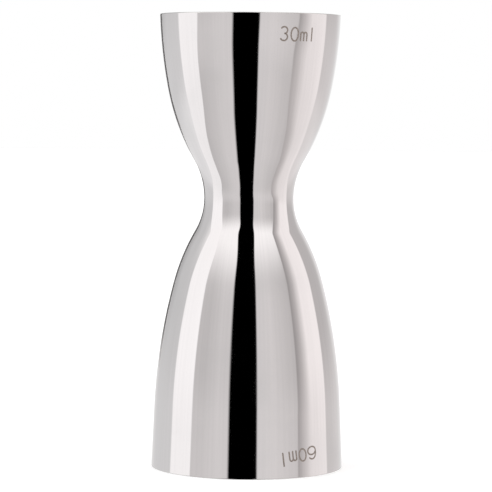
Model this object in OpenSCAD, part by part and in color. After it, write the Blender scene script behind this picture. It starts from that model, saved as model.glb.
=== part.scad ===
// Double-ended bar jigger: two flared stainless steel cups stand mouth outwards on one axis.
// They are butt-welded at the waist, and a pressed pan brazed into the throat parts the two measures.
// Millimetres, +Z up. The origin is the centre of the large rim, which the jigger stands on.

/* [Body] */
// Height from the large rim to the small rim
overall_h = 102; // [101:0.5:103]
// Outer diameter of the large rim
large_rim_d = 43.3; // [42.5:0.1:44]
// Outer diameter of the small rim
small_rim_d = 40.6; // [39.8:0.2:41.4]
// Outer diameter at the narrowest point
waist_d = 20.2; // [19.4:0.2:21]
// Height of the narrowest point above the large rim
waist_z = 60.7; // [60:0.1:61.5]
// Sheet thickness of both cups
wall = 0.8; // [0.6:0.1:1]
// Radius on both edges of each rim
rim_round = 0.2; // [0.1:0.05:0.25]

/* [Large cup] */
// Length of the straight lip, along the wall
large_lip_l = 14; // [11:1:17]
// Lean of the lip from upright, in degrees
large_lip_lean = 2.5; // [2:0.1:3]
// Lean where the body arc ends and the shoulder arc begins
large_body_lean = 15; // [14:0.5:17]
// Lean where the shoulder arc ends and the waist arc begins
large_shoulder_lean = 30; // [28:0.5:32]
// Radius of the waist arc in profile
large_waist_r = 14.5; // [13:0.5:16]

/* [Small cup] */
// Length of the straight lip, along the wall
small_lip_l = 1; // [0.5:0.5:3]
// Lean of the lip from upright, in degrees
small_lip_lean = 2.6; // [2:0.1:3.4]
// Lean where the body arc ends and the shoulder arc begins
small_body_lean = 11; // [9:0.5:13]
// Lean where the shoulder arc ends and the waist arc begins
small_shoulder_lean = 30; // [29:0.5:31]
// Radius of the waist arc in profile
small_waist_r = 17; // [16:0.5:18.5]

/* [Divider] */
// What the small cup holds when it is filled to the brim, in millilitres
small_capacity = 30; // [29:0.5:31]
// Sheet thickness of the pan
pan_t = 0.8; // [0.6:0.1:1]
// Inside radius where the pan's floor turns up into its wall
pan_corner_r = 1.6; // [1:0.1:2]
// Width of the pan's wall that bears on the throat
pan_wall_l = 2.6; // [2:0.2:3.6]
// Width of the coined edge that tapers the top of that wall
pan_taper_l = 1.4; // [0.8:0.1:1.6]
// Thickness left at the coined edge
pan_edge_t = 0.2; // [0.15:0.05:0.4]

/* [Welds] */
// Width of the waist weld on the outside, where it is ground flush
weld_w = 2; // [1.6:0.1:2.4]
// Width of the waist weld at its root, inside the throat
weld_root_w = 1.4; // [1.2:0.1:1.6]
// How far the weld's root bead stands into the throat
weld_bead_h = 0.25; // [0.1:0.05:0.35]
// Leg of the braze fillet down the throat from the pan
braze_leg = 1.9; // [1.4:0.1:2.2]
// How far the braze's face sinks between its two edges
braze_sink = 0.15; // [0.05:0.05:0.2]

/* [Smoothness] */
// Steps round the axis
$fn = 180; // [72:12:360]
// Steps along each arc of a wall
arc_steps = 9; // [5:1:14]

/* [Hidden] */
steel = "silver";
weld_steel = "gainsboro";
braze_alloy = "palegoldenrod";

// ---- points, arcs and volumes; a profile point is [radius, height] ----

function unit(v) = v / norm(v);
function sum(values) = values * [for (v = values) 1];
function reversed(list) = [for (i = [len(list) - 1:-1:0]) list[i]];
function without_first(list) = [for (i = [1:len(list) - 1]) list[i]];
function without_ends(list) = [for (i = [1:len(list) - 2]) list[i]];

// Points a to b, both included, cut into equal steps
function steps(a, b, count) = [for (i = [0:count]) a + (b - a) * i / count];

// Points on a circle from angle a to angle b
function arc(centre, radius, a, b, count) =
    [for (t = steps(a, b, count)) centre + radius * [cos(t), sin(t)]];

// The same from point p to point q, the short way round
function arc_through(centre, p, q, count) =
    let (
        a = atan2(p.y - centre.y, p.x - centre.x),
        b = atan2(q.y - centre.y, q.x - centre.x),
        turn = (b - a + 540) % 360 - 180
    )
    concat([p], without_ends(arc(centre, norm(p - centre), a, a + turn, count)), [q]);

// A corner between two straight sides, rounded by an arc that is tangent to both
function rounded(before, corner, after, radius, count = 4) =
    let (
        u = unit(before - corner),
        v = unit(after - corner),
        half = acos(u * v) / 2,
        reach = radius / tan(half)
    )
    arc_through(corner + unit(u + v) * radius / sin(half), corner + u * reach, corner + v * reach, count);

// An arc from p to q that rises to the left of the way from p to q, or sinks to its right
function bowed(p, q, rise, count = 6) =
    let (
        chord = q - p,
        left = unit([-chord.y, chord.x]),
        radius = (chord * chord / 4 + rise * rise) / (2 * rise)
    )
    arc_through((p + q) / 2 - left * (radius - rise), p, q, count);

// Volume in millilitres under a profile that runs down from the brim to the axis
function revolved_ml(points) =
    abs(sum([for (i = [1:len(points) - 1])
        let (p = points[i - 1], q = points[i])
        PI / 3 * (p.y - q.y) * (p.x * p.x + p.x * q.x + q.x * q.x)])) / 1000;

// ---- a cup's wall: a straight lip, then a body arc, a shoulder arc and a waist arc ----
// Each stretch is tangent to the next. Along the wall, distance s runs from the rim to the waist,
// depth is measured from the rim's plane and inset from the rim's outer radius towards the axis.

// Radii of the body and shoulder arcs, so that the chain reaches the waist both ways at once
function body_and_shoulder_r(height, inset, lip_l, lean, waist_r) =
    let (
        a = [sin(lean[1]) - sin(lean[0]), sin(lean[2]) - sin(lean[1])],
        b = [cos(lean[0]) - cos(lean[1]), cos(lean[1]) - cos(lean[2])],
        down = height - lip_l * cos(lean[0]) - waist_r * sin(lean[2]),
        across = inset - lip_l * sin(lean[0]) - waist_r * (1 - cos(lean[2])),
        det = a[0] * b[1] - a[1] * b[0]
    )
    [(down * b[1] - across * a[1]) / det, (across * a[0] - down * b[0]) / det];

// The four stretches, each [distance, depth, inset, lean at its start, curvature, length]
function wall_stretches(height, inset, lip_l, lean, waist_r) =
    let (
        r = body_and_shoulder_r(height, inset, lip_l, lean, waist_r),
        lip = [0, 0, 0, lean[0], 0, lip_l],
        body = next_stretch(lip, 1 / r[0], lean[1] - lean[0]),
        shoulder = next_stretch(body, 1 / r[1], lean[2] - lean[1]),
        waist = next_stretch(shoulder, -1 / waist_r, -lean[2])
    )
    [lip, body, shoulder, waist];

function next_stretch(last, curvature, turn) =
    let (end = stretch_at(last, last[5]))
    [last[0] + last[5], end[0], end[1], end[2], curvature, turn * PI / 180 / curvature];

// [depth, inset, lean] at distance l along one stretch
function stretch_at(stretch, l) =
    let (depth = stretch[1], inset = stretch[2], lean = stretch[3], k = stretch[4])
    k == 0
        ? [depth + l * cos(lean), inset + l * sin(lean), lean]
        : let (now = lean + l * k * 180 / PI)
          [depth + (sin(now) - sin(lean)) / k, inset + (cos(lean) - cos(now)) / k, now];

function wall_length(stretches) = stretches[3][0] + stretches[3][5];

// [depth, inset, lean] at distance s from the rim, t deep into the sheet from its outer skin
function wall_at(stretches, s, t = 0) =
    let (
        stretch = [for (item = stretches) if (s >= item[0] || item[0] == 0) item],
        last = stretch[len(stretch) - 1],
        p = stretch_at(last, s - last[0])
    )
    [p[0] - t * sin(p[2]), p[1] + t * cos(p[2]), p[2]];

large_lean = [large_lip_lean, large_body_lean, large_shoulder_lean];
small_lean = [small_lip_lean, small_body_lean, small_shoulder_lean];
large_wall = wall_stretches(waist_z, (large_rim_d - waist_d) / 2, large_lip_l, large_lean, large_waist_r);
small_wall = wall_stretches(overall_h - waist_z, (small_rim_d - waist_d) / 2, small_lip_l, small_lean,
    small_waist_r);

// [radius, height] on each cup, t deep into or past its sheet
function large_at(s, t) = let (p = wall_at(large_wall, s, t)) [large_rim_d / 2 - p[1], p[0]];
function small_at(s, t) = let (p = wall_at(small_wall, s, t)) [small_rim_d / 2 - p[1], overall_h - p[0]];

// Distances from the lip's end to a given end, with a stop at every change of arc
function stops(stretches, end) =
    concat(
        [for (item = [stretches[1], stretches[2]], i = [0:arc_steps - 1]) item[0] + item[5] * i / arc_steps],
        steps(stretches[3][0], end, arc_steps)
    );

// The rim's two edges in profile, from the inner skin round to the outer skin
function rim_edge(rim_r, height, lean, inner, outer) =
    let (
        inside = [rim_r - wall / cos(lean), height],
        outside = [rim_r, height]
    )
    concat(rounded(inner, inside, outside, rim_round), rounded(inside, outside, outer, rim_round));

large_rim = rim_edge(large_rim_d / 2, 0, large_lip_lean, large_at(large_lip_l, wall),
    large_at(large_lip_l, 0));
small_rim = rim_edge(small_rim_d / 2, overall_h, small_lip_lean, small_at(small_lip_l, wall),
    small_at(small_lip_l, 0));

// Where each wall is cut back for the weld: by half its width outside and half its root inside
large_outer_end = wall_length(large_wall) - weld_w / 2;
large_inner_end = wall_length(large_wall) - weld_root_w / 2;
small_outer_end = wall_length(small_wall) - weld_w / 2;
small_inner_end = wall_length(small_wall) - weld_root_w / 2;

// ---- the divider's height, found from the capacity of the small cup ----

// Everything below hangs on low, the distance down the small cup's wall where the pan leaves the throat
function pan_corner(low) = small_at(low, wall + pan_t + pan_corner_r);
function throat_lean(low) = wall_at(small_wall, low)[2];

// The pan's upper face from its coined edge down to the axis
function pan_inside(low) =
    let (corner = pan_corner(low))
    concat(
        [small_at(low - pan_wall_l, wall + pan_edge_t)],
        [for (s = steps(low - pan_wall_l + pan_taper_l, low, 3)) small_at(s, wall + pan_t)],
        without_first(arc(corner, pan_corner_r, -throat_lean(low), -90, 6)),
        [[0, corner.y - pan_corner_r]]
    );

// The small cup's whole inside, from the brim to the middle of the pan
function small_inside(low) =
    concat(
        reversed([for (i = [0:4]) small_rim[i]]),
        [for (s = stops(small_wall, small_inner_end)) if (s < low - pan_wall_l) small_at(s, wall)],
        [small_at(low - pan_wall_l, wall)],
        pan_inside(low)
    );

// The pan sinks and the cup holds more as low grows, so halving the range finds it
function pan_low(from, to, rounds = 24) =
    let (mid = (from + to) / 2)
    rounds == 0
        ? mid
        : revolved_ml(small_inside(mid)) > small_capacity
            ? pan_low(from, mid, rounds - 1)
            : pan_low(mid, to, rounds - 1);

pan_s = pan_low(small_wall[2][0], small_outer_end - 2 * braze_leg);
pan_top_s = pan_s - pan_wall_l;
braze_s = pan_s + braze_leg;
pan_centre = pan_corner(pan_s);
pan_lean = throat_lean(pan_s);
pan_outer_r = pan_corner_r + pan_t;
braze_lean = pan_lean + braze_leg / pan_outer_r * 180 / PI;

// Distances down the small cup's inner skin, with stops at both ends of the pan's wall and of the
// braze, so that the pieces that bear on the skin share its facets
bearing = steps(pan_top_s, pan_s, 4);
wetted = steps(pan_s, braze_s, 3);
below_braze = steps(braze_s, small_inner_end, 6);
small_inner_stops = concat(
    [for (s = stops(small_wall, small_inner_end)) if (s < pan_top_s - pan_edge_t) s],
    bearing,
    without_first(wetted),
    without_first(below_braze)
);

// The pan's outer corner: the part that the braze wets, then the rest down to the flat underside
wetted_corner = arc(pan_centre, pan_outer_r, -pan_lean, -braze_lean, 4);
bare_corner = arc(pan_centre, pan_outer_r, -braze_lean, -90, 4);

// The hollow face of the braze, from the throat to the pan
braze_face = bowed(small_at(braze_s, wall), bare_corner[0], -braze_sink);

// The weld's root bead, from the large cup to the small cup
root_bead = bowed(large_at(large_inner_end, wall), small_at(small_inner_end, wall), weld_bead_h);

// The large cup's whole inside, from its brim to the middle of the pan's underside
large_inside = concat(
    reversed([for (i = [0:4]) large_rim[i]]),
    [for (s = stops(large_wall, large_inner_end)) large_at(s, wall)],
    root_bead,
    reversed([for (s = below_braze) small_at(s, wall)]),
    braze_face,
    bare_corner,
    [[0, pan_centre.y - pan_outer_r]]
);
echo(small_cup_ml = revolved_ml(small_inside(pan_s)), large_cup_ml = revolved_ml(large_inside),
    pan_floor_z = pan_centre.y - pan_corner_r);

// ---- the pieces ----

// Flared shell of the large cup, open at the rim and cut square to the wall at the waist
module large_cup() {
    color(steel) rotate_extrude() polygon(concat(
        large_rim,
        [for (s = stops(large_wall, large_outer_end)) large_at(s, 0)],
        reversed([for (s = stops(large_wall, large_inner_end)) large_at(s, wall)])
    ));
}

// Flared shell of the small cup, whose throat also holds the divider
module small_cup() {
    color(steel) rotate_extrude() polygon(concat(
        small_rim,
        [for (s = stops(small_wall, small_outer_end)) small_at(s, 0)],
        reversed([for (s = small_inner_stops) small_at(s, wall)])
    ));
}

// Butt weld round the waist, ground flush outside and left with its bead inside
module waist_weld() {
    color(weld_steel) rotate_extrude() polygon(concat(
        [for (s = steps(large_outer_end, wall_length(large_wall), 2)) large_at(s, 0)],
        without_first([for (s = steps(wall_length(small_wall), small_outer_end, 2)) small_at(s, 0)]),
        reversed(root_bead)
    ));
}

// Pressed pan: a flat floor, a round corner and a short wall that wedges in the throat
module divider() {
    color(steel) rotate_extrude() polygon(concat(
        [for (s = bearing) small_at(s, wall)],
        without_first(wetted_corner),
        without_first(bare_corner),
        [[0, pan_centre.y - pan_outer_r]],
        reversed(pan_inside(pan_s))
    ));
}

// Silver braze that ran into the crevice under the pan's corner
module divider_braze() {
    color(braze_alloy) rotate_extrude() polygon(concat(
        [for (s = wetted) small_at(s, wall)],
        without_first(braze_face),
        without_ends(reversed(wetted_corner))
    ));
}

large_cup();
small_cup();
waist_weld();
divider();
divider_braze();
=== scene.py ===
"""Looks of a double-ended bar jigger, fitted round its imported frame. Metres, +Z up, large rim on z = 0."""

import bpy
import numpy as np
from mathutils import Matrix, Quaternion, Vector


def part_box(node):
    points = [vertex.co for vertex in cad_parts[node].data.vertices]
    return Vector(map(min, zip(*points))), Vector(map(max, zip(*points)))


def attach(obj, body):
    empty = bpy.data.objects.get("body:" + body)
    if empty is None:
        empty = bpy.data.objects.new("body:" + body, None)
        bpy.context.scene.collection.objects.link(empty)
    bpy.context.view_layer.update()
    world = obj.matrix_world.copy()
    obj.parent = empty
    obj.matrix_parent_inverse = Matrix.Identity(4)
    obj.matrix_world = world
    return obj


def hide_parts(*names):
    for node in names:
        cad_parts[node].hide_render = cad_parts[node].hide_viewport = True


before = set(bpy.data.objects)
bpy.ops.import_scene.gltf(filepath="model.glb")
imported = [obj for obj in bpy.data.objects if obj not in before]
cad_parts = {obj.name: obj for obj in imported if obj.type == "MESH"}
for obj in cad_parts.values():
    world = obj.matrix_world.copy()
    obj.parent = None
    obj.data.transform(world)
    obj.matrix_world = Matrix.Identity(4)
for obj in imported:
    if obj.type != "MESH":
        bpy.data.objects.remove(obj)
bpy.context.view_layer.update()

# ---- Large cup -------------------------------------------------------------------------------
# A flared shell spun from 0.8 mm stainless sheet. It stands on its rim, and its throat is
# butt-welded to the small cup. Outside it is buffed to a mirror, inside it keeps its spun satin.

MM = 0.001
LARGE_RIM_R = 21.65 * MM
WAIST_R = 10.1 * MM
WAIST_Z = 60.7 * MM
WALL = 0.8 * MM
RIM_ROUND = 0.2 * MM
WELD_W = 2.0 * MM
WELD_ROOT_W = 1.4 * MM
AROUND = 288


class CupWall:
    """A cup's wall in profile: a straight lip, then body, shoulder and waist arcs, each tangent to the last.

    Distance s runs along the outer skin from the rim to the waist. On a stretch that starts at lean a
    and has curvature k, the lean is a + k s. Depth below the rim grows there by (sin lean - sin a) / k
    and inset from the rim's radius by (cos a - cos lean) / k. The body and shoulder radii are the two
    unknowns that bring the chain to the waist both in depth and in inset.
    """

    def __init__(self, rim_r, rim_z, lip_l, leans, waist_arc_r):
        self.rim_r, self.rim_z, self.lip_l = rim_r, rim_z, lip_l
        self.towards_waist = np.sign(WAIST_Z - rim_z)
        lip, body, shoulder = np.radians(leans)
        down = abs(WAIST_Z - rim_z) - lip_l * np.cos(lip) - waist_arc_r * np.sin(shoulder)
        across = rim_r - WAIST_R - lip_l * np.sin(lip) - waist_arc_r * (1 - np.cos(shoulder))
        body_r, shoulder_r = np.linalg.solve(
            [[np.sin(body) - np.sin(lip), np.sin(shoulder) - np.sin(body)],
             [np.cos(lip) - np.cos(body), np.cos(body) - np.cos(shoulder)]], [down, across])
        self.curves = [0, 1 / body_r, 1 / shoulder_r, -1 / waist_arc_r]
        lengths = [lip_l, (body - lip) * body_r, (shoulder - body) * shoulder_r, shoulder * waist_arc_r]
        self.starts = np.cumsum([0, *lengths])
        self.waist_s = self.starts[-1]
        self.bases = [(0.0, 0.0, lip)]
        for stretch, length in enumerate(lengths[:3]):
            self.bases.append(self.follow(stretch, length))

    def follow(self, stretch, length):
        """Depth, inset and lean at a length along one stretch."""
        depth, inset, lean = self.bases[stretch]
        curve = self.curves[stretch]
        if curve == 0:
            return depth + length * np.cos(lean), inset + length * np.sin(lean), lean + 0 * length
        now = lean + curve * length
        return (depth + (np.sin(now) - np.sin(lean)) / curve,
                inset + (np.cos(lean) - np.cos(now)) / curve, now)

    def skin(self, s, deep=0.0):
        """Points [radius, height] at distances s, deep into the sheet along its inward normal."""
        s = np.atleast_1d(s)
        on = [(s >= a) & (s < b) for a, b in zip([-1, *self.starts[1:4]], [*self.starts[1:4], 1])]
        every = [self.follow(stretch, s - self.starts[stretch]) for stretch in range(4)]
        depth, inset, lean = (np.select(on, part) for part in zip(*every))
        depth = depth - deep * np.sin(lean)
        inset = inset + deep * np.cos(lean)
        return np.stack([self.rim_r - inset, self.rim_z + self.towards_waist * depth], 1)

    def lean(self, s):
        """The wall's lean at a distance s, in radians."""
        stretch = np.searchsorted(self.starts[1:4], s, side="right")
        return self.follow(stretch, s - self.starts[stretch])[2]

    def rim(self):
        """The rim's edge from the inner skin round to the outer skin: an arc, the flat ring and an arc."""
        inner, outer = self.skin(self.lip_l, WALL)[0], self.skin(self.lip_l)[0]
        inside = np.array([self.rim_r - WALL / np.cos(self.bases[0][2]), self.rim_z])
        outside = np.array([self.rim_r, self.rim_z])
        return np.concatenate([rounded(inner, inside, outside, RIM_ROUND),
                               rounded(inside, outside, outer, RIM_ROUND)])

    def shell(self, outer_steps=190, inner_steps=84):
        """The four runs of the shell's outline from the waist: inner skin, rim, outer skin, cut end."""
        rim = self.rim()
        near_rim = 2 * RIM_ROUND
        inner = self.skin(np.linspace(self.waist_s - WELD_ROOT_W / 2, near_rim, inner_steps), WALL)
        outer = self.skin(np.linspace(near_rim, self.waist_s - WELD_W / 2, outer_steps))
        inner = np.concatenate([inner, rim[:1]])
        outer = np.concatenate([rim[-1:], outer])
        return [inner, rim, outer, np.stack([outer[-1], inner[0]])]


def arc_through(centre, start, end, steps):
    """Points on a circle from one point to another, the short way round."""
    a, b = (np.arctan2(*(point - centre)[::-1]) for point in (start, end))
    angle = a + np.linspace(0, (b - a + np.pi) % (2 * np.pi) - np.pi, steps + 1)
    return centre + np.linalg.norm(start - centre) * np.stack([np.cos(angle), np.sin(angle)], 1)


def rounded(before, corner, after, radius, steps=7):
    """A corner between two straight sides, rounded by an arc that is tangent to both."""
    back, on = ((point - corner) / np.linalg.norm(point - corner) for point in (before, after))
    half = np.arccos(back @ on) / 2
    reach = radius / np.tan(half)
    middle = (back + on) / np.linalg.norm(back + on)
    return arc_through(corner + middle * radius / np.sin(half), corner + back * reach,
                       corner + on * reach, steps)


def turned(name, runs, finishes, around=AROUND):
    """A body of revolution from the runs of its outline, which keeps the metal on its left.

    A point (r, z) of the outline sweeps the ring (r cos a, r sin a, z). A run is a list of points, or
    one such list for every angle. The smooth normal is the cross product of the way round the ring and
    the way along the run, so neighbouring runs meet in a crease. The UV map "wrap" holds the angle as
    a share of a turn and the distance along the outline in decimetres.
    """
    turn = np.arange(around + 1)[:, None] / around
    a = 2 * np.pi * turn
    runs = [np.broadcast_to(run, (around + 1, *run.shape[-2:])) for run in runs]
    outline = np.concatenate([run[0, :-1] for run in runs] + [runs[-1][0, -1:]])
    closed = int(np.allclose(outline[0], outline[-1]))
    per_ring = np.where(outline[:, 0] > 0, around, 1)[:len(outline) - closed]
    index = np.cumsum(per_ring) - per_ring + np.arange(around + 1)[:, None] % per_ring
    index = np.concatenate([index, index[:, :closed]], 1)
    points = np.zeros((per_ring.sum(), 3))
    corners, normals, wraps, finish = [], [], [], []
    column, travelled = 0, 0.0
    for run, look in zip(runs, finishes):
        r, z = run[..., 0], run[..., 1]
        steps = np.linalg.norm(np.diff(run[0], axis=0), axis=1)
        along = travelled + np.concatenate([[0], np.cumsum(steps)])
        places = np.stack([r * np.cos(a), r * np.sin(a), z], 2)
        swell, rise = np.gradient(r, axis=0), np.gradient(z, axis=0)
        step = np.maximum(r, 1e-9) * 2 * np.pi / around
        sweep = np.stack([swell * np.cos(a) - step * np.sin(a),
                          swell * np.sin(a) + step * np.cos(a), rise], 2)
        climb = np.gradient(places, along, axis=1, edge_order=min(2, len(steps)))
        normal = np.cross(sweep, climb)
        normal /= np.linalg.norm(normal, axis=2, keepdims=True)
        wrap = np.stack(np.broadcast_arrays(turn, along * 10), 2)
        rows = slice(column, column + len(along))
        points[index[:, rows]] = places
        for part, grid in ((corners, index[:, rows]), (normals, normal), (wraps, wrap)):
            quad = [grid[:-1, :-1], grid[1:, :-1], grid[1:, 1:], grid[:-1, 1:]]
            part.append(np.stack(quad, 2).reshape(-1, 4, *grid.shape[2:]))
        finish.append(np.full(len(corners[-1]), look))
        column += len(steps)
        travelled = along[-1]
    return faced(name, points, *(np.concatenate(part) for part in (corners, normals, wraps, finish)))


def faced(name, points, corners, normals, wraps, finish):
    """A mesh object from quads, where a quad with a doubled corner at a pole becomes a triangle."""
    real = corners != np.roll(corners, -1, axis=1)
    count = real.sum(1)
    mesh = bpy.data.meshes.new(name)
    mesh.vertices.add(len(points))
    mesh.vertices.foreach_set("co", points.ravel())
    mesh.loops.add(count.sum())
    mesh.loops.foreach_set("vertex_index", corners[real])
    mesh.polygons.add(len(count))
    mesh.polygons.foreach_set("loop_start", np.cumsum(count) - count)
    mesh.polygons.foreach_set("material_index", finish)
    mesh.polygons.foreach_set("use_smooth", np.ones(len(count), bool))
    mesh.uv_layers.new(name="wrap").data.foreach_set("uv", wraps[real].ravel())
    mesh.update(calc_edges=True)
    mesh.normals_split_custom_set(normals[real])
    piece = bpy.data.objects.new(name, mesh)
    bpy.context.scene.collection.objects.link(piece)
    return piece


class Wire:
    """A shader socket that works in sums: an operator on it adds one Math node to its tree."""

    def __init__(self, tree, socket=None):
        self.tree, self.socket = tree, socket

    def node(self, kind, settings=(), inputs=(), output=0):
        """Adds any node: its settings come first, then each input gets a value or a link."""
        new = self.tree.nodes.new(kind)
        for key, value in dict(settings).items():
            if key == "stops":
                for place, colour in value[2:]:
                    new.color_ramp.elements.new(place)
                for element, (place, colour) in zip(new.color_ramp.elements, sorted(value)):
                    element.position, element.color = place, colour
            else:
                setattr(new, key, value)
        for key, value in dict(inputs).items():
            if isinstance(value, Wire):
                self.tree.links.new(value.socket, new.inputs[key])
            else:
                new.inputs[key].default_value = value
        return Wire(self.tree, new.outputs[output])

    def other(self, output):
        """Another output of the same node."""
        return Wire(self.tree, self.socket.node.outputs[output])

    def maths(self, operation, *others):
        return self.node("ShaderNodeMath", {"operation": operation}, enumerate((self, *others)))

    def __add__(self, other):
        return self.maths("ADD", other)

    def __mul__(self, other):
        return self.maths("MULTIPLY", other)

    def __truediv__(self, other):
        return self.maths("DIVIDE", other)

    def __pow__(self, other):
        return self.maths("POWER", other)

    def __neg__(self):
        return self.maths("MULTIPLY", -1)

    def __sub__(self, other):
        return self.maths("SUBTRACT", other)

    def __rsub__(self, other):
        return -self + other

    __radd__, __rmul__ = __add__, __mul__

    def ramp(self, low, high, smooth=False):
        """0 where this wire is at low or below, 1 at high or above, and a slope between."""
        return self.node("ShaderNodeMapRange", {"interpolation_type": "SMOOTHSTEP" if smooth else "LINEAR"},
                         {"Value": self, "From Min": low, "From Max": high})

    def between(self, first, second):
        """The colour first where this wire is 0 and second where it is 1."""
        return self.node("ShaderNodeMix", {"data_type": "RGBA"}, {0: self, 6: first, 7: second}, 2)


def finish_of(name, roughness=0.5, metallic=1.0):
    """A new material with its Principled shader and the wires of its tree."""
    material = bpy.data.materials.new(name)
    material.use_nodes = True
    shader = material.node_tree.nodes["Principled BSDF"]
    shader.inputs["Roughness"].default_value = roughness
    shader.inputs["Metallic"].default_value = metallic
    return material, shader, Wire(material.node_tree)


def feed(shader, **wires):
    """Links wires to the shader's sockets, with an underscore in a name for its space."""
    for name, wire in wires.items():
        shader.id_data.links.new(wire.socket, shader.inputs[name.replace("_", " ")])


STREAKS_PER_RADIAN = 36
STREAKS_PER_METRE = 20


def mirror_polish():
    """Buffed stainless steel: a clear mirror with hairlines that the lathe left round it, fainter streaks
    from the last strokes of the buff between waist and rim, a trace of handling, and the slight swell
    of spun sheet. The streaks read the direction (x / r, y / r) from the axis, so they fan out with
    the wall."""
    material, shader, wire = finish_of("mirror_polish")
    place = wire.node("ShaderNodeTexCoord", output="Object")
    x = place.node("ShaderNodeSeparateXYZ", inputs={0: place})
    y, z = x.other("Y"), x.other("Z")
    r = (x * x + y * y) ** 0.5
    strokes = place.node("ShaderNodeCombineXYZ", inputs={
        0: x / r * STREAKS_PER_RADIAN, 1: y / r * STREAKS_PER_RADIAN, 2: z * STREAKS_PER_METRE})
    streak = place.node("ShaderNodeTexNoise", inputs={"Vector": strokes, "Scale": 1.0, "Detail": 2.0})
    rings = place.node("ShaderNodeMapping", inputs={"Vector": place, "Scale": (60, 60, 9000)})
    hairline = place.node("ShaderNodeTexNoise", inputs={"Vector": rings, "Scale": 1.0, "Detail": 2.0})
    smudge = place.node("ShaderNodeTexNoise", inputs={"Vector": place, "Scale": 75.0, "Detail": 5.0})
    swell = place.node("ShaderNodeTexNoise", inputs={"Vector": place, "Scale": 45.0, "Detail": 0.0})
    steel = streak.ramp(0.3, 0.7).between((0.63, 0.603, 0.604, 1), (0.654, 0.625, 0.626, 1))
    handled = smudge.ramp(0.52, 0.75)
    feed(shader,
         Base_Color=handled.between(steel, (0.615, 0.592, 0.592, 1)),
         Roughness=0.028 + handled * 0.03 + hairline * 0.02,
         Normal=place.node("ShaderNodeBump", inputs={"Height": swell, "Strength": 1.0, "Distance": 1.2e-5}))
    return material


def spun_satin(name, colour, roughness):
    """Steel as it leaves the spinning lathe or the press: rings a tenth of a millimetre apart that
    spread highlights, and a cloudy tone. The rings follow the distance along the outline."""
    material, shader, wire = finish_of(name)
    place = wire.node("ShaderNodeTexCoord", output="Object")
    wrap = wire.node("ShaderNodeUVMap", {"uv_map": "wrap"})
    along = wrap.node("ShaderNodeSeparateXYZ", inputs={0: wrap}, output="Y")
    across = place.node("ShaderNodeSeparateXYZ", inputs={0: place})
    lines = place.node("ShaderNodeCombineXYZ", inputs={
        0: across * 90, 1: across.other("Y") * 90, 2: along * 900})
    tool_mark = place.node("ShaderNodeTexNoise", inputs={"Vector": lines, "Scale": 1.0, "Detail": 3.0})
    cloud = place.node("ShaderNodeTexNoise", inputs={"Vector": place, "Scale": 130.0, "Detail": 4.0})
    dull = tuple(channel * 0.86 for channel in colour)
    feed(shader,
         Base_Color=(tool_mark * 0.6 + cloud * 0.4).ramp(0.35, 0.65).between((*dull, 1), (*colour, 1)),
         Roughness=roughness - 0.05 + tool_mark * 0.1,
         Normal=place.node("ShaderNodeBump", inputs={"Height": tool_mark, "Strength": 0.5,
                                                     "Distance": 1.5e-5}))
    return material


polish = mirror_polish()
satin = spun_satin("spun_satin", (0.6, 0.585, 0.57), 0.3)
cut_edge = spun_satin("cut_edge", (0.64, 0.62, 0.61), 0.18)
SATIN, EDGE, MIRROR = range(3)


def dress(piece, slot, node, *materials):
    """Gives a piece its materials and its place in the frame."""
    for material in materials:
        piece.data.materials.append(material)
    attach(piece, "root")
    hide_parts(node)


large_wall = CupWall(LARGE_RIM_R, 0.0, 14 * MM, (2.5, 15, 30), 14.5 * MM)
large_shell = turned("large_cup_shell", large_wall.shell(), (SATIN, EDGE, MIRROR, EDGE))
dress(large_shell, "polished_steel", "large_cup", satin, cut_edge, polish)

# ---- Small cup -------------------------------------------------------------------------------
# The same sheet and the same finish, spun to a smaller rim. It opens upwards, and its throat
# also carries the divider that is the floor of both measures.

SMALL_RIM_R = 20.3 * MM
JIGGER_H = round(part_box("small_cup")[1].z, 5)


def upturned(runs):
    """The runs of an outline taken the other way, for a cup whose rim is above its waist."""
    return [run[::-1] for run in reversed(runs)]


small_wall = CupWall(SMALL_RIM_R, JIGGER_H, 1 * MM, (2.6, 11, 30), 17 * MM)
small_shell = turned("small_cup_shell", upturned(small_wall.shell()), (EDGE, MIRROR, EDGE, SATIN))
dress(small_shell, "polished_steel", "small_cup", satin, cut_edge, polish)

# ---- Waist weld ------------------------------------------------------------------------------
# The butt weld that joins the two throats. Outside it is ground flush and buffed with the cups, so
# that no seam shows. Inside its root bead keeps the overlapping scales of the puddle.

BEAD_H = 0.25 * MM
SCALES = 48
SCALE_DEPTH = 0.06 * MM
SCALE_BOW = 0.7
WELD_AROUND = 12 * SCALES


def bowed(start, end, rise, steps):
    """An arc between two points that rises to the left of the way between them, or sinks to its right."""
    chord = end - start
    left = np.array([-chord[1], chord[0]]) / np.linalg.norm(chord)
    radius = (chord @ chord / 4 + rise * rise) / (2 * rise)
    return arc_through((start + end) / 2 - left * (radius - rise), start, end, steps)


def scaled(bead):
    """The root bead's outline at every angle, with its scales: each sinks into the bead as the square of
    the way along it, then the next begins. Across the bead a scale bows by SCALE_BOW of its length, as
    the square of the distance from the middle, and the scales fade out towards both edges."""
    across = np.linspace(-1, 1, len(bead))
    turn = np.arange(WELD_AROUND + 1)[:, None] / WELD_AROUND
    way = (SCALES * turn + SCALE_BOW * across ** 2) % 1
    sunk = SCALE_DEPTH * way ** 2 * (1 - across ** 2)
    return np.stack([bead[:, 0] + sunk, np.broadcast_to(bead[:, 1], sunk.shape)], 2)


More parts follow.
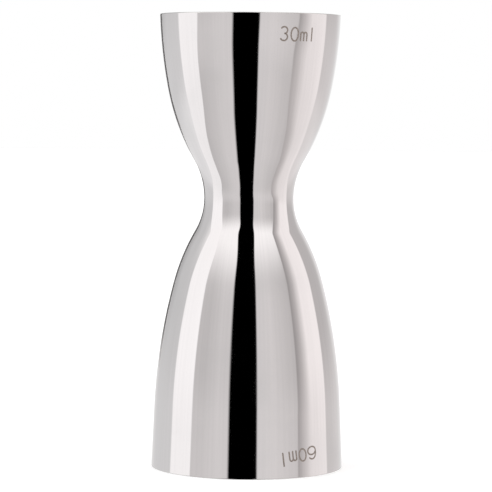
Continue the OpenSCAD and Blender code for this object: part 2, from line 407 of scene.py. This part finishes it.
def waist_outline():
    """Outer skin, upper end, root bead and lower end of the weld."""
    below = large_wall.skin(large_wall.waist_s - np.linspace(WELD_W / 2, 0, 9))
    above = small_wall.skin(small_wall.waist_s - np.linspace(0, WELD_W / 2, 9))
    outer = np.concatenate([below, above[1:]])
    upper, lower = (wall.skin(wall.waist_s - WELD_ROOT_W / 2, WALL)[0] for wall in (small_wall, large_wall))
    bead = bowed(upper, lower, -BEAD_H, 12)
    return [outer, np.stack([outer[-1], upper]), scaled(bead), np.stack([lower, outer[0]])]


def weld_scale():
    """Bare weld metal: satin, with straw and blue tints in patches where it cooled in air."""
    material, shader, wire = finish_of("weld_scale")
    place = wire.node("ShaderNodeTexCoord", output="Object")
    patch = place.node("ShaderNodeTexNoise", inputs={"Vector": place, "Scale": 260.0, "Detail": 2.0})
    straw = patch.ramp(0.38, 0.5).between((0.42, 0.44, 0.52, 1), (0.6, 0.52, 0.4, 1))
    feed(shader,
         Base_Color=patch.ramp(0.5, 0.62).between(straw, (0.6, 0.58, 0.56, 1)),
         Roughness=0.28 + patch * 0.2)
    return material


waist_bead = turned("waist_bead", waist_outline(), (MIRROR, EDGE, SATIN, EDGE), WELD_AROUND)
dress(waist_bead, "weld_steel", "waist_weld", weld_scale(), cut_edge, polish)

# ---- Divider ---------------------------------------------------------------------------------
# A pan pressed from the same sheet: a flat floor, a round corner and a short wall with a coined
# edge, wedged in the small cup's throat. Its height sets the small measure, so the frame gives it.

PAN_T = 0.8 * MM
PAN_CORNER_R = 1.6 * MM
PAN_WALL_L = 2.6 * MM
PAN_TAPER_L = 1.4 * MM
PAN_EDGE_T = 0.2 * MM
PAN_OUTER_R = PAN_CORNER_R + PAN_T


def pan_corner(s):
    """Centre of the pan's corner where its wall leaves the throat at distance s."""
    return small_wall.skin(s, WALL + PAN_OUTER_R)


throat = np.linspace(small_wall.waist_s - 4 * MM, small_wall.starts[2], 4000)
PAN_S = np.interp(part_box("divider")[0].z, pan_corner(throat)[:, 1] - PAN_OUTER_R, throat)


def pan_arc(radius, start, end, steps):
    """Points on the pan's corner between two angles below the horizontal, in radians."""
    fall = np.linspace(start, end, steps + 1)
    return pan_corner(PAN_S)[0] + radius * np.stack([np.cos(fall), -np.sin(fall)], 1)


def pan_outline():
    """Underside, wall and inside of the pan, from the axis back to the axis."""
    centre = pan_corner(PAN_S)[0]
    lean = small_wall.lean(PAN_S)
    radii = np.linspace(0, 1, 40)[:, None]
    under = pan_arc(PAN_OUTER_R, np.pi / 2, lean, 14)
    inner = pan_arc(PAN_CORNER_R, lean, np.pi / 2, 12)
    bearing = small_wall.skin(np.linspace(PAN_S, PAN_S - PAN_WALL_L, 12), WALL)
    facing = small_wall.skin(np.linspace(PAN_S - PAN_WALL_L + PAN_TAPER_L, PAN_S, 8), WALL + PAN_T)
    coined = small_wall.skin(PAN_S - PAN_WALL_L, WALL + PAN_EDGE_T)
    below, above = (np.array([0, centre[1] - radius]) for radius in (PAN_OUTER_R, PAN_CORNER_R))
    return [np.concatenate([below + radii * (under[0] - below), under[1:], bearing[1:]]),
            np.concatenate([bearing[-1:], coined]),
            np.concatenate([coined, facing[:1]]),
            np.concatenate([facing, inner[1:], inner[-1] + radii[1:] * (above - inner[-1])])]


pan = turned("divider_pan", pan_outline(), (0, 1, 1, 0))
dress(pan, "pan_steel", "divider", spun_satin("pressed_satin", (0.66, 0.65, 0.64), 0.26), cut_edge)

# ---- Braze -----------------------------------------------------------------------------------
# Silver braze that ran into the crevice under the pan's corner and seals the two measures apart.
# It froze with a hollow face, and it is a little yellower than the steel.

BRAZE_LEG = 1.9 * MM
BRAZE_SINK = 0.15 * MM


def braze_outline():
    """The side on the throat, the side on the pan and the hollow face."""
    lean = small_wall.lean(PAN_S)
    throat_side = small_wall.skin(np.linspace(PAN_S + BRAZE_LEG, PAN_S, 8), WALL)
    pan_side = pan_arc(PAN_OUTER_R, lean, lean + BRAZE_LEG / PAN_OUTER_R, 8)
    face = bowed(pan_side[-1], throat_side[0], BRAZE_SINK, 12)
    return [throat_side, pan_side, face]


def silver_braze():
    """Frozen braze: pale yellow, dimpled and a little dull where flux sat on it."""
    material, shader, wire = finish_of("silver_braze")
    place = wire.node("ShaderNodeTexCoord", output="Object")
    flux = place.node("ShaderNodeTexNoise", inputs={"Vector": place, "Scale": 420.0, "Detail": 4.0})
    dimple = place.node("ShaderNodeTexNoise", inputs={"Vector": place, "Scale": 900.0, "Detail": 1.0})
    feed(shader,
         Base_Color=flux.ramp(0.4, 0.65).between((0.72, 0.64, 0.47, 1), (0.5, 0.44, 0.34, 1)),
         Roughness=0.22 + flux * 0.3,
         Normal=place.node("ShaderNodeBump", inputs={"Height": dimple, "Distance": 3e-5}))
    return material


braze = turned("braze_fillet", braze_outline(), (0, 0, 0))
dress(braze, "braze_alloy", "divider_braze", silver_braze())

# ---- Capacity marks --------------------------------------------------------------------------
# "30 ml" and "60 ml", burnt into the polish by a laser as one thin dark line. Each is upright for
# a reader who holds its own cup mouth up, so the large cup's mark is upside down here.

LINE_W = 0.35 * MM
LINE_STEP = 0.06 * MM
LINE_PROUD = 0.012 * MM
LINE_SUNK = 0.03 * MM


def oval(x, y, across, up, start, end):
    """Points on an ellipse between two angles in degrees, counted from the right and turning left."""
    angle = np.radians(np.linspace(start, end, 64))
    return np.stack([x + across * np.cos(angle), y + up * np.sin(angle)], 1)


def line(*parts):
    """One stroke through points and arcs, in shares of its letter's width and height."""
    return np.concatenate([np.reshape(part, (-1, 2)) for part in parts])


LETTERS = {
    "3": [line(oval(0.50, 0.75, 0.44, 0.25, 155, -80), oval(0.48, 0.27, 0.48, 0.27, 80, -160))],
    "0": [oval(0.5, 0.5, 0.5, 0.5, 0, 360)],
    "6": [oval(0.5, 0.32, 0.5, 0.32, 0, 360), line((0, 0.32), oval(0.5, 0.5, 0.5, 0.5, 180, 40))],
    "m": [line((0, 0), (0, 1)),
          line(oval(0.25, 0.74, 0.25, 0.26, 180, 0), (0.5, 0)),
          line(oval(0.75, 0.74, 0.25, 0.26, 180, 0), (1, 0))],
    "l": [line((0, 0), (0, 1))],
}


def ribbon(stroke):
    """Both edges of a stroke: its line moved half a width to either side, with round ends. A stroke
    whose ends meet is a loop and has none."""
    loop = np.allclose(stroke[0], stroke[-1])
    gone = np.concatenate([[0], np.cumsum(np.linalg.norm(np.diff(stroke, axis=0), axis=1))])
    stops = np.linspace(0, gone[-1], int(gone[-1] / LINE_STEP) + 2)
    centre = np.stack([np.interp(stops, gone, stroke[:, axis]) for axis in (0, 1)], 1)
    padded = np.concatenate([centre[-2:-1], centre, centre[1:2]]) if loop else centre
    way = np.gradient(padded, axis=0)[1:-1] if loop else np.gradient(padded, axis=0)
    way /= np.linalg.norm(way, axis=1, keepdims=True)
    to_end = np.minimum(stops, gone[-1] - stops) / (LINE_W / 2)
    half = LINE_W / 2 * np.sqrt(1 if loop else 1 - np.clip(0.95 - to_end, 0, 1) ** 2)
    aside = way[:, ::-1] * (-1, 1) * np.reshape(half, (-1, 1))
    return centre - aside, centre + aside, loop


def capacity_mark(name, wall, letters, start, tilt):
    """Strokes laid on a cup's outer skin. A letter is (sign, place along the text, width, height). The
    text starts at an arc length to the right of the front and a height, and turns by tilt degrees.
    A point goes to the angle arc / rim radius, and out along the skin's normal at its height."""
    far = np.linspace(0, wall.waist_s, 2000)
    rise = wall.skin(far)[:, 1] * wall.towards_waist
    turn = np.radians(tilt)
    along, up = np.array([np.cos(turn), np.sin(turn)]), np.array([-np.sin(turn), np.cos(turn)])
    points, faces, first = [], [], 0
    for sign, place, width, height in letters:
        for stroke in LETTERS[sign]:
            right, left, loop = ribbon(stroke * (width, height) + (place, 0))
            section = []
            corners = (right, LINE_PROUD), (left, LINE_PROUD), (left, -LINE_SUNK), (right, -LINE_SUNK)
            for edge, out in corners:
                arc, z = (start + edge[:, :1] * along + edge[:, 1:] * up).T
                s = np.interp(z * wall.towards_waist, rise, far)
                r, z = wall.skin(s, -out).T
                angle = arc / wall.rim_r
                section.append(np.stack([r * np.sin(angle), -r * np.cos(angle), z], 1))
            rows = first + np.arange(4 * len(right)).reshape(-1, 4)
            grid = np.concatenate([rows, rows[:, :1]], 1)
            quads = np.stack([grid[:-1, :-1], grid[1:, :-1], grid[1:, 1:], grid[:-1, 1:]], 2)
            faces.append(quads.reshape(-1, 4))
            faces.append(np.array([rows[0], rows[-1][::-1]]))
            points.append(np.stack(section, 1).reshape(-1, 3))
            first += rows.size
    mesh = bpy.data.meshes.new(name)
    mesh.from_pydata(np.concatenate(points), [], np.concatenate(faces).tolist())
    mark = bpy.data.objects.new(name, mesh)
    bpy.context.scene.collection.objects.link(mark)
    mark.data.materials.append(burnt)
    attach(mark, "root")
    return mark


def laser_oxide():
    """Steel burnt dark by a laser: matt, grey-brown, uneven from pulse to pulse."""
    material, shader, wire = finish_of("laser_oxide", metallic=0.3)
    place = wire.node("ShaderNodeTexCoord", output="Object")
    pulse = place.node("ShaderNodeTexNoise", inputs={"Vector": place, "Scale": 6000.0, "Detail": 2.0})
    feed(shader,
         Base_Color=pulse.ramp(0.35, 0.65).between((0.26, 0.218, 0.192, 1), (0.38, 0.32, 0.285, 1)),
         Roughness=0.45 + pulse * 0.3)
    return material


burnt = laser_oxide()
capacity_mark("small_cup_mark", small_wall,
              [("3", 0, 1.8 * MM, 3.0 * MM), ("0", 2.6 * MM, 1.85 * MM, 2.9 * MM),
               ("m", 5.1 * MM, 1.7 * MM, 1.95 * MM), ("l", 8.2 * MM, 1 * MM, 3.1 * MM)],
              (6.7 * MM, 95.9 * MM), -1)
capacity_mark("large_cup_mark", large_wall,
              [("6", 0, 2.3 * MM, 2.75 * MM), ("0", 2.9 * MM, 1.85 * MM, 2.7 * MM),
               ("m", 5.5 * MM, 1.75 * MM, 2.2 * MM), ("l", 8.8 * MM, 1 * MM, 3.15 * MM)],
              (16.9 * MM, 6.8 * MM), 186.5)

# ---- Studio ----------------------------------------------------------------------------------
# A white room with light panels and one black flag round the jigger, and an even light overhead. A
# mirror shows nothing of its own, so each upright stripe on the steel is one of these panels.

FLAG = (-22.4, 12.0)
SCREEN_END = 65.4
SOFT = 0.8

# The room's light on a full turn. Each row: the azimuth in degrees from the camera's side, + to its
# right, then how bright the light is there below level, at level and above, then how far it leans to
# red. It changes evenly from row to row, and two rows under 2 degrees apart are the edge of a panel.
ROOM = [
    (-180, 1.15, 1.15, 0.80, 0.0),
    (-166, 1.20, 0.92, 0.62, 0.0),
    (-150, 1.04, 0.86, 0.60, -0.01),
    (-135, 1.05, 0.90, 0.81, -0.015),
    (-104.8, 1.16, 0.95, 0.87, -0.015),
    (-104, 1.32, 1.38, 1.43, -0.005),
    (-71.4, 1.32, 1.38, 1.46, -0.005),
    (-70.6, 0.75, 0.88, 0.79, 0.01),
    (-58, 0.815, 0.885, 0.76, 0.01),
    (-36, 0.935, 0.955, 0.89, 0.01),
    (FLAG[0] - SOFT, 0.945, 0.94, 0.88, 0.01),
    (FLAG[0] + SOFT, 0, 0, 0, 0),
    (FLAG[1] - SOFT, 0, 0, 0, 0),
    (FLAG[1] + SOFT, 0.92, 0.965, 0.92, 0.005),
    (31, 0.93, 0.985, 0.95, 0.015),
    (SCREEN_END - SOFT, 0.77, 0.87, 0.74, 0.02),
    (SCREEN_END + SOFT, 0.64, 0.57, 0.46, 0.035),
    (75, 0.77, 0.81, 0.73, 0.035),
    (86, 1.09, 1.125, 1.275, 0.03),
    (112.4, 1.20, 1.24, 1.32, 0.03),
    (113.2, 1.02, 0.86, 0.70, 0.025),
    (142, 1.04, 0.88, 0.68, 0.02),
    (156, 1.05, 0.90, 0.955, 0.005),
    (166, 1.13, 1.02, 0.935, 0.0),
    (180, 1.15, 1.15, 0.80, 0.0),
]
OVERHEAD = 1.45
PEAK = 1.5

# Steepness in degrees above level, from where to where the light passes from one column to the next,
# the flag ends and the overhead light comes in, and the azimuth where that light ends on the left.
BELOW_TO_LEVEL = (-19, -8)
LEVEL_TO_ABOVE = (-7, 6)
FLAG_TOP = (64, 74)
OVERHEAD_IN = (19, 51)
OVERHEAD_LEFT_END = (-125, -100)

# The panels lean in over these ranges of steepness below and above level, and stand upright again
# behind the jigger. Past LEAN_ASIDE they lean more below level, and less above it on the right.
LEAN_BELOW = (14, 36)
LEAN_ABOVE = (34, 56)
LEAN_ASIDE = (20, 65)
LEAN_BEHIND = (90, 170)
MORE_BELOW = 0.3
LESS_ABOVE = 0.8

# Below level a direction meets the panels further to the right, by a share of its azimuth that differs
# on the two halves and goes out towards the sides and towards level.
SHIFT_RIGHT_HALF = 0.10
SHIFT_LEFT_HALF = 0.045
SHIFT_ASIDE = (66, 104)
SHIFT_STEEP = (-12, -1.5)

# The lower edge of the overhead light rises to the right, in degrees per degree of azimuth, and by a
# step in degrees that starts at the front and fades out on the right.
EDGE_SLOPE = 0.04
EDGE_STEP = 5
STEP_START = (0, 1)
STEP_FADE = (25, 60)


def room_stops(column):
    """The colour stops of one column of the room's light, over a full turn, as shares of PEAK."""
    stops = []
    for row in ROOM:
        azimuth, light, lean = row[0], row[column] / PEAK, row[4]
        stops.append((azimuth / 360 + 0.5, (light * (1 + lean), light, light * (1 - lean / 4), 1)))
    return stops


def studio_light():
    """The light from a direction of azimuth a and steepness e: the room's light below, at or above
    level, and the overhead light high up. The panels lean in on the jigger, so a steep direction meets
    them at twice the azimuth of the direction halfway to the camera, 2 atan2(x, 1 - y), and a
    direction below level meets them a little further to the right."""
    world = bpy.data.worlds.new("studio")
    bpy.context.scene.world = world
    world.use_nodes = True
    air = Wire(world.node_tree)
    way = air.node("ShaderNodeTexCoord", output="Generated")
    x = way.node("ShaderNodeSeparateXYZ", inputs={0: way})
    y, z = x.other("Y"), x.other("Z")
    degree = 180 / np.pi
    azimuth = x.maths("ARCTAN2", -y) * degree
    halfway = x.maths("ARCTAN2", 1 - y) * (2 * degree)
    steep = z.maths("ARCSINE") * degree
    aside = azimuth.maths("ABSOLUTE")

    leaning = (-steep).ramp(*LEAN_BELOW, True) * (1 + aside.ramp(*LEAN_ASIDE, True) * MORE_BELOW)
    leaning = leaning + steep.ramp(*LEAN_ABOVE, True) * (1 - azimuth.ramp(*LEAN_ASIDE, True) * LESS_ABOVE)
    place = azimuth + (halfway - azimuth) * leaning * (1 - aside.ramp(*LEAN_BEHIND, True))
    shift = (place * SHIFT_RIGHT_HALF).maths("MAXIMUM", place * -SHIFT_LEFT_HALF)
    shift = shift * (1 - place.maths("ABSOLUTE").ramp(*SHIFT_ASIDE, True))
    place = place + shift * (1 - steep.ramp(*SHIFT_STEEP, True))

    share = place / 360 + 0.5
    below, level, above = (share.node("ShaderNodeValToRGB", {"stops": room_stops(column)}, {0: share})
                           for column in (1, 2, 3))
    panels = steep.ramp(*BELOW_TO_LEVEL, True).between(below, level)
    panels = steep.ramp(*LEVEL_TO_ABOVE, True).between(panels, above)

    flag = place.ramp(FLAG[0] - SOFT, FLAG[0] + SOFT) * (1 - place.ramp(FLAG[1] - SOFT, FLAG[1] + SOFT))
    step = place.ramp(*STEP_START) * (1 - place.ramp(*STEP_FADE, True)) * EDGE_STEP
    risen = (steep - place * EDGE_SLOPE - step).ramp(*OVERHEAD_IN, True)
    clear = 1 - place.ramp(SCREEN_END - SOFT, SCREEN_END + SOFT)
    clear = clear * (1 - flag * (1 - steep.ramp(*FLAG_TOP, True)))
    clear = clear * place.ramp(*OVERHEAD_LEFT_END, True)
    top = OVERHEAD / PEAK
    seen = (risen * clear).between(panels, (top, top, 0.995 * top, 1))
    glow = air.node("ShaderNodeBackground", inputs={"Color": seen, "Strength": PEAK})
    white = air.node("ShaderNodeBackground", inputs={"Color": (1, 1, 1, 1), "Strength": 1.0})
    camera_ray = air.node("ShaderNodeLightPath", output="Is Camera Ray")
    mixed = air.node("ShaderNodeMixShader", inputs={0: camera_ray, 1: glow, 2: white})
    out = world.node_tree.nodes["World Output"]
    world.node_tree.links.new(mixed.socket, out.inputs["Surface"])


studio_light()


def stage_piece(name, outline, look):
    """A flat piece of the studio from its outline."""
    mesh = bpy.data.meshes.new(name)
    mesh.from_pydata(outline, [], [list(range(len(outline)))])
    mesh.materials.append(look)
    piece = bpy.data.objects.new(name, mesh)
    bpy.context.scene.collection.objects.link(piece)
    return piece


FLOOR_R = 3.0
FLOOR_Z = -0.01 * MM
FLOOR_SIDES = 96


def floor_white():
    """White that keeps a soft shadow: its own light fills it up to white for the camera."""
    material, shader, wire = finish_of("floor_white", 0.9, 0.0)
    shader.inputs["Base Color"].default_value = (0.9, 0.9, 0.9, 1)
    shader.inputs["Specular IOR Level"].default_value = 0.0
    shader.inputs["Emission Strength"].default_value = 0.36
    camera_ray = wire.node("ShaderNodeLightPath", output="Is Camera Ray")
    feed(shader, Emission_Color=camera_ray.between((0, 0, 0, 1), (1, 1, 1, 1)))
    return material


a = np.linspace(0, 2 * np.pi, FLOOR_SIDES, endpoint=False)
floor_rim = np.stack([FLOOR_R * np.cos(a), FLOOR_R * np.sin(a), np.full(FLOOR_SIDES, FLOOR_Z)], 1)
floor = stage_piece("floor", floor_rim, floor_white())

# The mirror looks past the floor to the panels, as it would on a tall and narrow stand.
floor.visible_glossy = False

CARD_AZIMUTH = -160.5
CARD_DISTANCE = 500 * MM
CARD_W = 150 * MM
CARD_FOOT = -10 * MM
CARD_TOP = 1200 * MM
CARD_FADE_IN = (CARD_FOOT, 15 * MM)
CARD_FADE_OUT = (250 * MM, 900 * MM)
CARD_FADE_ASIDE = (0.6 * CARD_W / 2, CARD_W / 2)
CARD_GREY_RISE = (50 * MM, 300 * MM)
card_turn = np.radians(CARD_AZIMUTH)


def card_black():
    """A black that fades to the room's own greys at the card's foot, top and sides. Distance across the
    card is x cos a + y sin a, where a is its azimuth."""
    material, shader, wire = finish_of("card_black", 0.9, 0.0)
    shader.inputs["Specular IOR Level"].default_value = 0.0
    place = wire.node("ShaderNodeTexCoord", output="Object")
    x = place.node("ShaderNodeSeparateXYZ", inputs={0: place})
    y, z = x.other("Y"), x.other("Z")
    across = (x * np.cos(card_turn) + y * np.sin(card_turn)).maths("ABSOLUTE")
    dark = z.ramp(*CARD_FADE_IN, True) * (1 - z.ramp(*CARD_FADE_OUT, True))
    dark = dark * (1 - across.ramp(*CARD_FADE_ASIDE, True))
    grey = z.ramp(*CARD_GREY_RISE).between((0.92, 0.92, 0.92, 1), (0.68, 0.68, 0.68, 1))
    feed(shader, Base_Color=dark.between(grey, (0.2, 0.2, 0.2, 1)))
    return material


# A card stands upright behind the jigger to its left, square to it. Only the mirror sees it, as the
# thin dark line down its left side.
corners = []
for side, z in ((-1, CARD_FOOT), (1, CARD_FOOT), (1, CARD_TOP), (-1, CARD_TOP)):
    across = side * CARD_W / 2
    corners.append((CARD_DISTANCE * np.sin(card_turn) + across * np.cos(card_turn),
                    across * np.sin(card_turn) - CARD_DISTANCE * np.cos(card_turn), z))
card = stage_piece("card", corners, card_black())
card.visible_camera = card.visible_diffuse = card.visible_shadow = card.visible_transmission = False

# ---- Camera ----------------------------------------------------------------------------------
# A little above the middle of the small cup and tipped down, so that the large rim shows as an ellipse.

VIEW_DISTANCE = 5.625 * JIGGER_H
VIEW_HEIGHT = 0.8333 * JIGGER_H
VIEW_ASIDE = -0.56 * MM
VIEW_DOWN = 3.5
VIEW_ROLL = 0.497
LENS = 186.2
SENSOR = 36.0

eye = bpy.data.cameras.new("camera")
eye.lens, eye.sensor_width = LENS, SENSOR
eye.clip_start, eye.clip_end = 0.01, 20
camera = bpy.data.objects.new("camera", eye)
bpy.context.scene.collection.objects.link(camera)
camera.rotation_mode = "QUATERNION"
tip = Quaternion((1, 0, 0), np.radians(90 - VIEW_DOWN))
camera.rotation_quaternion = tip @ Quaternion((0, 0, 1), np.radians(VIEW_ROLL))
camera.location = (VIEW_ASIDE, -VIEW_DISTANCE, VIEW_HEIGHT)
bpy.context.scene.camera = camera
bpy.context.scene.view_settings.view_transform = "Standard"
